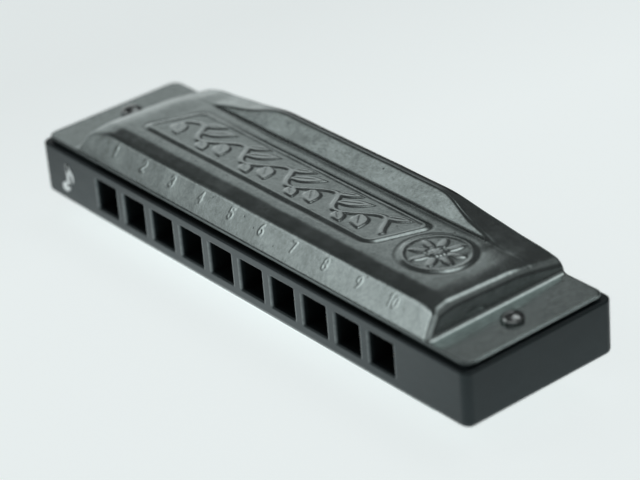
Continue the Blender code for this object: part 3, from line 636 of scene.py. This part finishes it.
class Nodes:
    """Short calls for building a material's node tree."""

    def __init__(self, name):
        self.material = bpy.data.materials.new(name)
        self.material.use_nodes = True
        self.tree = self.material.node_tree
        self.shader = self.tree.nodes["Principled BSDF"]
        self.coords = self.add("ShaderNodeTexCoord").outputs["Object"]

    def add(self, kind, **inputs):
        node = self.tree.nodes.new(kind)
        for key, value in inputs.items():
            self.feed(node, key.replace("_", " "), value)
        return node

    def feed(self, node, socket, value):
        if isinstance(value, bpy.types.NodeSocket):
            self.tree.links.new(value, node.inputs[socket])
        else:
            node.inputs[socket].default_value = value

    def mapped(self, stretch):
        """The object's coordinates in millimetres, stretched."""
        node = self.add("ShaderNodeMapping", Vector=self.coords)
        node.inputs["Scale"].default_value = [1000 * s for s in stretch]
        return node.outputs["Vector"]

    def noise(self, scale, detail=3.0, roughness=0.55, stretch=(1, 1, 1)):
        vector = self.mapped(stretch)
        node = self.add("ShaderNodeTexNoise", Vector=vector, Scale=scale, Detail=detail, Roughness=roughness)
        return node.outputs["Fac"]

    def attribute(self, name):
        node = self.add("ShaderNodeAttribute")
        node.attribute_name = name
        return node.outputs["Fac"]

    def ranged(self, value, low, high, to_low, to_high):
        node = self.add("ShaderNodeMapRange", Value=value)
        for socket, number in zip(("From Min", "From Max", "To Min", "To Max"), (low, high, to_low, to_high)):
            node.inputs[socket].default_value = number
        return node.outputs["Result"]

    def math(self, operation, a, b=None):
        node = self.tree.nodes.new("ShaderNodeMath")
        node.operation = operation
        self.feed(node, 0, a)
        if b is not None:
            self.feed(node, 1, b)
        return node.outputs[0]

    def mix(self, factor, a, b):
        node = self.tree.nodes.new("ShaderNodeMix")
        node.data_type = "RGBA"
        self.feed(node, 0, factor)
        self.feed(node, 6, a if isinstance(a, bpy.types.NodeSocket) else (*a, 1))
        self.feed(node, 7, b if isinstance(b, bpy.types.NodeSocket) else (*b, 1))
        return node.outputs[2]

    def bump(self, height, distance_mm, strength=1.0, below=None):
        node = self.add("ShaderNodeBump", Height=height, Distance=distance_mm * MM, Strength=strength)
        if below is not None:
            self.feed(node, "Normal", below)
        return node.outputs["Normal"]

    def set(self, **inputs):
        for key, value in inputs.items():
            self.feed(self.shader, key.replace("_", " "), value)
        return self.material


STEEL_DULL, STEEL_BRIGHT = (0.44, 0.5, 0.49), (0.52, 0.59, 0.58)
STEEL_GRAIN, STEEL_STAIN = (0.33, 0.38, 0.37), (0.3, 0.35, 0.34)
# the last colour on the next line is the painted shade's
STEEL_WORN, STEEL_PIT, STEEL_SHADE = (0.8, 0.88, 0.87), (0.1, 0.11, 0.11), (0.03, 0.036, 0.036)


def cover_steel():
    """Satin steel with a cloudy grain, stains and pits, bright where it is worn and dark where shade is painted."""
    n = Nodes("satin_cover_steel")
    painted_shade, worn = n.attribute("painted_shade"), n.attribute("worn")
    grain = n.noise(1.9, 5.0, 0.62)
    fine = n.noise(9.0, 2.0, 0.6)
    cloud = n.noise(0.16, 4.0, 0.6)
    stains = n.noise(0.7, 4.0, 0.68)
    brushed = n.noise(1.0, 3.0, 0.6, (0.25, 5.0, 5.0))
    pit_cells = n.add("ShaderNodeTexVoronoi", Vector=n.mapped((1, 1, 1)), Scale=0.42)
    pit = n.ranged(pit_cells.outputs["Distance"], 0.04, 0.09, 1.0, 0.0)
    base = n.mix(n.ranged(cloud, 0.3, 0.7, 0, 1), STEEL_DULL, STEEL_BRIGHT)
    base = n.mix(n.ranged(grain, 0.35, 0.7, 0, 0.45), base, STEEL_GRAIN)
    base = n.mix(n.ranged(stains, 0.48, 0.68, 0, 0.5), base, STEEL_STAIN)
    base = n.mix(n.math("MULTIPLY", worn, 0.5), base, STEEL_WORN)
    base = n.mix(n.math("MULTIPLY", pit, 0.6), base, STEEL_PIT)
    # painted shade darkens the steel where the cover's shade mask says
    base = n.mix(n.math("MULTIPLY", painted_shade, 0.85), base, STEEL_SHADE)
    rough = n.math("ADD", n.ranged(cloud, 0.3, 0.7, 0.14, 0.21), n.ranged(grain, 0.3, 0.7, -0.03, 0.04))
    rough = n.math("ADD", rough, n.math("MULTIPLY", painted_shade, 0.15))
    normal = n.bump(grain, 0.02, 0.6)
    normal = n.bump(fine, 0.003, 0.5, normal)
    normal = n.bump(brushed, 0.003, 0.5, normal)
    normal = n.bump(n.math("SUBTRACT", 1.0, pit), 0.03, 0.5, normal)
    return n.set(Base_Color=base, Metallic=1.0, Roughness=rough, Normal=normal)


PLASTIC_DARK, PLASTIC_LIGHT = (0.011, 0.015, 0.016), (0.018, 0.025, 0.027)
# the second colour on the next line is a painted highlight's, the third a painted shade's
PLASTIC_SCUFF, PLASTIC_RIM_HIGHLIGHT, PLASTIC_SHADE = (0.04, 0.045, 0.046), (0.18, 0.2, 0.2), (0.002, 0.002, 0.002)
PLASTIC_TINT = (0.84, 1.0, 1.04, 1)


def comb_plastic():
    """Black plastic with scuffs, with painted shade that makes it darker and duller inside the holes, and a painted
    highlight line on each hole's rim.
    """
    n = Nodes("moulded_black_plastic")
    fine = n.noise(5.0, 3.0, 0.6)
    cloud = n.noise(0.12, 3.0, 0.5)
    scuffs = n.noise(0.7, 4.0, 0.7, (0.4, 1.0, 1.6))
    base = n.mix(n.ranged(cloud, 0.3, 0.7, 0, 1), PLASTIC_DARK, PLASTIC_LIGHT)
    base = n.mix(n.ranged(scuffs, 0.62, 0.8, 0, 0.5), base, PLASTIC_SCUFF)
    rough = n.math("ADD", n.ranged(cloud, 0.3, 0.7, 0.3, 0.38), n.ranged(scuffs, 0.4, 0.8, 0.0, 0.12))
    normal = n.bump(fine, 0.006, 0.5)
    normal = n.bump(cloud, 0.05, 0.3, normal)
    x, y, z = n.add("ShaderNodeSeparateXYZ", Vector=n.coords).outputs
    # painted shade inside the comb's holes and chambers: a darker colour and less specular
    along = n.ranged(n.math("ABSOLUTE", x), 37 * MM, 37.5 * MM, 1.0, 0.0)
    behind_front = n.ranged(y, -14.2 * MM, -13.2 * MM, 0.0, 1.0)
    before_rear = n.ranged(y, 13.2 * MM, 14.2 * MM, 1.0, 0.0)
    shade_inside = n.math("MULTIPLY", n.math("MULTIPLY", behind_front, before_rear), along)
    # a painted highlight line along each hole's rim on the front face
    in_pitch = n.math("FLOORED_MODULO", x, PITCH * MM)
    off_centre = n.math("ABSOLUTE", n.math("SUBTRACT", in_pitch, PITCH * MM / 2))
    off_line = n.math("ABSOLUTE", n.math("SUBTRACT", off_centre, RIM_HIGHLIGHT_LINE * MM))
    rim = n.ranged(off_line, 0.1 * MM, 0.3 * MM, 1.0, 0.0)
    rim = n.math("MULTIPLY", rim, n.ranged(n.math("ABSOLUTE", z), 2.5 * MM, 2.9 * MM, 1.0, 0.0))
    on_front = n.ranged(y, -14.1 * MM, -13.8 * MM, 1.0, 0.0)
    rim = n.math("MULTIPLY", n.math("MULTIPLY", rim, along), on_front)
    base = n.mix(n.math("MULTIPLY", rim, n.ranged(scuffs, 0.3, 0.6, 0.4, 0.9)), base, PLASTIC_RIM_HIGHLIGHT)
    base = n.mix(n.math("MULTIPLY", shade_inside, 0.7), base, PLASTIC_SHADE)
    specular = n.ranged(shade_inside, 0, 1, 0.5, 0.12)
    return n.set(
        Base_Color=base, Roughness=rough, Normal=normal, Specular_IOR_Level=specular, Specular_Tint=PLASTIC_TINT
    )


def brass():
    n = Nodes("rolled_brass")
    brushed = n.noise(1.2, 4.0, 0.65, (8.0, 0.4, 1.0))
    patina = n.noise(0.35, 5.0, 0.6)
    base = n.mix(n.ranged(brushed, 0.3, 0.7, 0, 1), (0.62, 0.43, 0.17), (0.8, 0.6, 0.29))
    base = n.mix(n.ranged(patina, 0.52, 0.75, 0, 0.55), base, (0.3, 0.19, 0.09))
    rough = n.math("ADD", n.ranged(brushed, 0.3, 0.7, 0.22, 0.36), n.ranged(patina, 0.5, 0.75, 0.0, 0.2))
    return n.set(Base_Color=base, Metallic=1.0, Roughness=rough, Normal=n.bump(brushed, 0.006, 0.5))


def fastener_steel(name, dark, light, rough_low, rough_high):
    n = Nodes(name)
    cloud = n.noise(1.1, 4.0, 0.6)
    fine = n.noise(7.0, 2.0, 0.6)
    base = n.mix(n.ranged(cloud, 0.35, 0.65, 0, 1), dark, light)
    rough = n.ranged(cloud, 0.3, 0.7, rough_low, rough_high)
    return n.set(Base_Color=base, Metallic=1.0, Roughness=rough, Normal=n.bump(fine, 0.004, 0.5))


def white_print():
    n = Nodes("white_print")
    worn = n.noise(3.0, 4.0, 0.7)
    base = n.mix(n.ranged(worn, 0.55, 0.8, 0, 0.5), (0.9, 0.95, 0.95), (0.55, 0.58, 0.58))
    return n.set(Base_Color=base, Roughness=0.5, Normal=n.bump(worn, 0.004, 0.5))


FLOOR_COLOUR, FLOOR_GLOW = (0.28, 0.3, 0.3, 1), (0.94, 1.0, 1.0, 1)
FLOOR_SEEN, FLOOR_SHADE = 0.76, 0.91  # brightness to the camera, and the left end's share of it
FLOOR_FAR, FLOOR_FAR_BRIGHT = 0.04, 0.4


def floor_material():
    """Pale to the camera, with painted shade towards its left end; in reflections it is bright near the object and
    dark farther off.
    """
    n = Nodes("pale_floor")
    cloud = n.noise(0.004, 2.0, 0.5)
    away = n.add("ShaderNodeVectorMath", Vector=n.coords)
    away.operation = "LENGTH"
    x, y, _ = n.add("ShaderNodeSeparateXYZ", Vector=n.coords).outputs
    near = n.ranged(away.outputs["Value"], 78 * MM, 100 * MM, 1.0, 0.0)
    back_left = n.math("SUBTRACT", n.math("MULTIPLY", y, 0.5), n.math("MULTIPLY", x, 0.866))
    aside = n.math("ADD", y, n.math("MULTIPLY", x, 0.8))
    far = n.math(
        "MINIMUM",
        n.ranged(back_left, 30 * MM, 110 * MM, FLOOR_FAR, FLOOR_FAR_BRIGHT),
        n.ranged(aside, -30 * MM, 10 * MM, FLOOR_FAR_BRIGHT, FLOOR_FAR),
    )
    rising = n.ranged(x, -70 * MM, -25 * MM, 0.65, 1.25)
    falling = n.ranged(x, 0.0, 55 * MM, 0.0, 0.65)
    close = n.math("SUBTRACT", rising, falling)
    lit_near = n.math("MULTIPLY", near, close)
    lit = n.math("ADD", lit_near, n.math("MULTIPLY", n.math("SUBTRACT", 1.0, near), far))
    seen = n.add("ShaderNodeLightPath").outputs["Is Camera Ray"]
    shade = n.ranged(x, -100 * MM, -35 * MM, FLOOR_SHADE * FLOOR_SEEN, FLOOR_SEEN)
    seen_light = n.math("MULTIPLY", seen, shade)
    strength = n.math("ADD", seen_light, n.math("MULTIPLY", n.math("SUBTRACT", 1.0, seen), lit))
    rough = n.ranged(cloud, 0.3, 0.7, 0.7, 0.8)
    return n.set(Base_Color=FLOOR_COLOUR, Roughness=rough, Emission_Color=FLOOR_GLOW, Emission_Strength=strength)


# ---------------------------------------------------------------- pieces

steel = cover_steel()
plastic = comb_plastic()
nail_steel = fastener_steel("dark_nail_steel", (0.3, 0.32, 0.32), (0.42, 0.445, 0.44), 0.12, 0.22)
screw_steel = fastener_steel("nickel_screw", (0.5, 0.5, 0.48), (0.66, 0.66, 0.63), 0.2, 0.34)

# The CAD's own meshes keep their shapes and get finer materials.
FINISH = {"brass": brass(), "screw_steel": screw_steel, "nail_steel": nail_steel}
slots = {entry["node"]: entry["material_slot"] for entry in frame["record"]["subparts"]}
for node, obj in frame["nodes"].items():
    finish = FINISH.get(slots.get(node))
    if finish:
        obj.data.materials.clear()
        obj.data.materials.append(finish)

comb = piece("moulded_comb", comb_mesh(), plastic, "comb")
weighted = comb.modifiers.new("flat_faces", "WEIGHTED_NORMAL")
weighted.keep_sharp = True
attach(comb, "harp")

COARSE, FINE = 0.3, 0.15  # spacing of a cover's grid
cover = cover_mesh("upper_cover_pressing", FINE, True)
upper = piece("upper_cover_pressing", cover, steel, "upper_cover")
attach(upper, "harp")
cover = cover_mesh("lower_cover_pressing", COARSE, False)
cover.transform(Matrix.Scale(LOWER_SHARE, 4, (1, 0, 0)))
lower = piece("lower_cover_pressing", cover, steel, "lower_cover")
lower.rotation_euler = Euler((0, math.pi, 0))
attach(lower, "harp")

for side, up in (("upper", 1), ("lower", -1)):
    for place, end in (("left", -1), ("right", 1)):
        name = f"{side}_cover_nail_{place}"
        seat = up * (FLANGE_Z + 0.05)
        bm = lathe(nail_profile(), NAIL_SEGMENTS, end * NAIL_X, -up * end * NAIL_Y, seat, up)
        nail = piece(f"{side}_nail_{place}", mesh_of(bm, name), nail_steel, name)
        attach(nail, "harp")


NOTE_SCALE, NOTE_X, NOTE_Z = 1.5, -45.6, -2.0
NOTE_PROUD, NOTE_SUNK = 0.03, 0.05  # how far the print stands out of the comb and reaches into it


def note_outlines():
    """A quaver's head, stem and flag."""
    tilt = math.radians(22)
    head = []
    for angle in np.linspace(0, 2 * math.pi, 24, endpoint=False):
        x, z = math.cos(angle) * 0.78, math.sin(angle) * 0.56
        head.append((x * math.cos(tilt) - z * math.sin(tilt), x * math.sin(tilt) + z * math.cos(tilt)))
    stem = [(0.26, 0.0), (0.76, 0.1), (0.76, 2.9), (0.26, 2.9)]
    flag_outside = [(0.36, 2.9), (0.74, 2.9), (0.95, 2.5), (1.4, 2.05), (1.6, 1.55), (1.5, 0.9)]
    flag_inside = [(1.26, 0.9), (1.24, 1.35), (1.0, 1.7), (0.62, 1.9), (0.36, 2.0)]
    return [head, stem, flag_outside + flag_inside]


def note_mesh():
    bm = bmesh.new()
    for outline in note_outlines():
        placed = [(NOTE_SCALE * x + NOTE_X, NOTE_SCALE * z + NOTE_Z) for x, z in outline]
        depths = (-COMB_Y - NOTE_PROUD, -COMB_Y + NOTE_SUNK)
        bridge(bm, [[bm.verts.new((x * MM, y * MM, z * MM)) for x, z in placed] for y in depths])
    return mesh_of(bm, "printed_note")


mark = piece("printed_note", note_mesh(), white_print())
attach(mark, "harp")

# ---------------------------------------------------------------- stage

FLOOR_HALF = 4  # metres
FLOOR_GAP = 0.08
LIP_Y, LIP_Z = 11.25, 11.05  # the lower cover rests on its lip and its front crease, this far down
CREASE_Y, CREASE_Z = -8.6, 9.35

floor = bpy.data.objects.new("floor", bpy.data.meshes.new("floor"))
bpy.context.scene.collection.objects.link(floor)
corners = [(x * FLOOR_HALF, y * FLOOR_HALF, 0) for x, y in ((-1, -1), (1, -1), (1, 1), (-1, 1))]
floor.data.from_pydata(corners, [], [(0, 1, 2, 3)])
floor.data.materials.append(floor_material())
tilt = math.atan2(LIP_Z - CREASE_Z, LIP_Y - CREASE_Y)
floor.rotation_euler = (-tilt, 0, 0)
floor.location = (0, 0, (-CREASE_Z + CREASE_Y * math.tan(tilt) - FLOOR_GAP) * MM)


# What the steel mirrors. Each bright patch has an azimuth and an elevation, half sizes and soft edges, all in degrees,
# and a radiance.
PATCHES = [
    ("back_window", 162, 2, 26.5, 29.5, 4, 2, 0.36),
    ("left_glow", 168, -2, 26, 14, 8, 6, 0.34),
    ("front_softbox", -132, 34, 29, 10, 4, 3, 0.16),
    ("side_window", -145, 42, 15, 7, 2, 3, 0.58),
    ("front_lamp", -124, 36, 18, 12, 12, 3, 0.85),
    ("right_softbox", 100, 57, 32, 10, 6, 5, 0.95),
    ("right_wall", 50, 44, 25, 16, 8, 6, 0.12),
    ("overhead", 60, 79, 90, 16, 20, 5, 0.36),
    ("room_behind_camera", -42, 38, 42, 24, 8, 8, 0.35),
]
DARK_ROOM = 0.06
ROOM_LIGHT, ROOM_SEEN = (0.97, 1.0, 1.0, 1), (0.8, 0.85, 0.85, 1)  # to the object and to the camera


class WorldNodes:
    """Short calls for the world's node tree."""

    def __init__(self, tree):
        self.tree = tree

    def math(self, operation, *values):
        node = self.tree.nodes.new("ShaderNodeMath")
        node.operation = operation
        for socket, value in enumerate(values):
            if isinstance(value, bpy.types.NodeSocket):
                self.tree.links.new(value, node.inputs[socket])
            else:
                node.inputs[socket].default_value = value
        return node.outputs[0]

    def within(self, offset, half, soft):
        """1 where an angle's offset is less than half, falling to 0 over the soft edge."""
        node = self.tree.nodes.new("ShaderNodeMapRange")
        node.interpolation_type = "SMOOTHSTEP"
        self.tree.links.new(offset, node.inputs["Value"])
        for socket, number in (("From Min", half - soft), ("From Max", half + soft), ("To Min", 1), ("To Max", 0)):
            node.inputs[socket].default_value = number
        return node.outputs["Result"]


def make_world():
    world = bpy.data.worlds.new("studio")
    bpy.context.scene.world = world
    world.use_nodes = True
    tree = world.node_tree
    tree.nodes.clear()
    link = tree.links.new
    n = WorldNodes(tree)
    coords = tree.nodes.new("ShaderNodeTexCoord")
    split = tree.nodes.new("ShaderNodeSeparateXYZ")
    link(coords.outputs["Generated"], split.inputs[0])
    x, y, z = split.outputs
    to_degrees = 180 / math.pi
    level_squared = n.math("ADD", n.math("MULTIPLY", x, x), n.math("MULTIPLY", y, y))
    level = n.math("SQRT", n.math("MAXIMUM", level_squared, 1e-6))
    elevation = n.math("MULTIPLY", n.math("ARCTAN2", z, level), to_degrees)
    total = DARK_ROOM
    for _, azimuth, height, half_az, half_el, soft_az, soft_el, radiance in PATCHES:
        turn = math.radians(azimuth)
        facing = n.math("ADD", n.math("MULTIPLY", x, math.cos(turn)), n.math("MULTIPLY", y, math.sin(turn)))
        facing = n.math("MINIMUM", n.math("MAXIMUM", n.math("DIVIDE", facing, level), -1.0), 1.0)
        swing = n.math("MULTIPLY", n.math("ARCCOSINE", facing), to_degrees)
        rise = n.math("ABSOLUTE", n.math("SUBTRACT", elevation, height))
        patch = n.math("MULTIPLY", n.within(swing, half_az, soft_az), n.within(rise, half_el, soft_el))
        total = n.math("ADD", n.math("MULTIPLY", patch, radiance), total)
    light = tree.nodes.new("ShaderNodeBackground")
    light.inputs["Color"].default_value = ROOM_LIGHT
    link(total, light.inputs["Strength"])
    seen = tree.nodes.new("ShaderNodeBackground")
    seen.inputs["Color"].default_value = ROOM_SEEN
    path = tree.nodes.new("ShaderNodeLightPath")
    mix = tree.nodes.new("ShaderNodeMixShader")
    link(path.outputs["Is Camera Ray"], mix.inputs[0])
    link(light.outputs[0], mix.inputs[1])
    link(seen.outputs[0], mix.inputs[2])
    out = tree.nodes.new("ShaderNodeOutputWorld")
    link(mix.outputs[0], out.inputs[0])


make_world()

# ---------------------------------------------------------------- camera

AZIMUTH, ELEVATION, ROLL = (math.radians(a) for a in (52.962, 29.366, -5.002))
DISTANCE, SHIFT_X, SHIFT_Y = 0.396375, 0.001716, -0.000367
LENS, SENSOR, APERTURE = 144.63, 36, 19
FOCUS = (4, -8, 8)

flat = math.cos(ELEVATION)
back = Vector((math.sin(AZIMUTH) * flat, -math.cos(AZIMUTH) * flat, math.sin(ELEVATION)))
level_right = Vector((0, 0, 1)).cross(back).normalized()
level_up = back.cross(level_right)
right = math.cos(ROLL) * level_right + math.sin(ROLL) * level_up
upward = -math.sin(ROLL) * level_right + math.cos(ROLL) * level_up
camera = bpy.data.objects.new("camera", bpy.data.cameras.new("camera"))
bpy.context.scene.collection.objects.link(camera)
placed = Matrix((right, upward, back)).transposed().to_4x4()
placed.translation = back * DISTANCE + right * SHIFT_X + upward * SHIFT_Y
camera.matrix_world = placed
camera.data.sensor_width = SENSOR
camera.data.lens = LENS
camera.data.clip_start = 0.01
camera.data.clip_end = 20
focus = bpy.data.objects.new("focus", None)
bpy.context.scene.collection.objects.link(focus)
focus.location = [v * MM for v in FOCUS]
camera.data.dof.use_dof = True
camera.data.dof.focus_object = focus
camera.data.dof.aperture_fstop = APERTURE
bpy.context.scene.camera = camera
bpy.context.scene.view_settings.view_transform = "Standard"
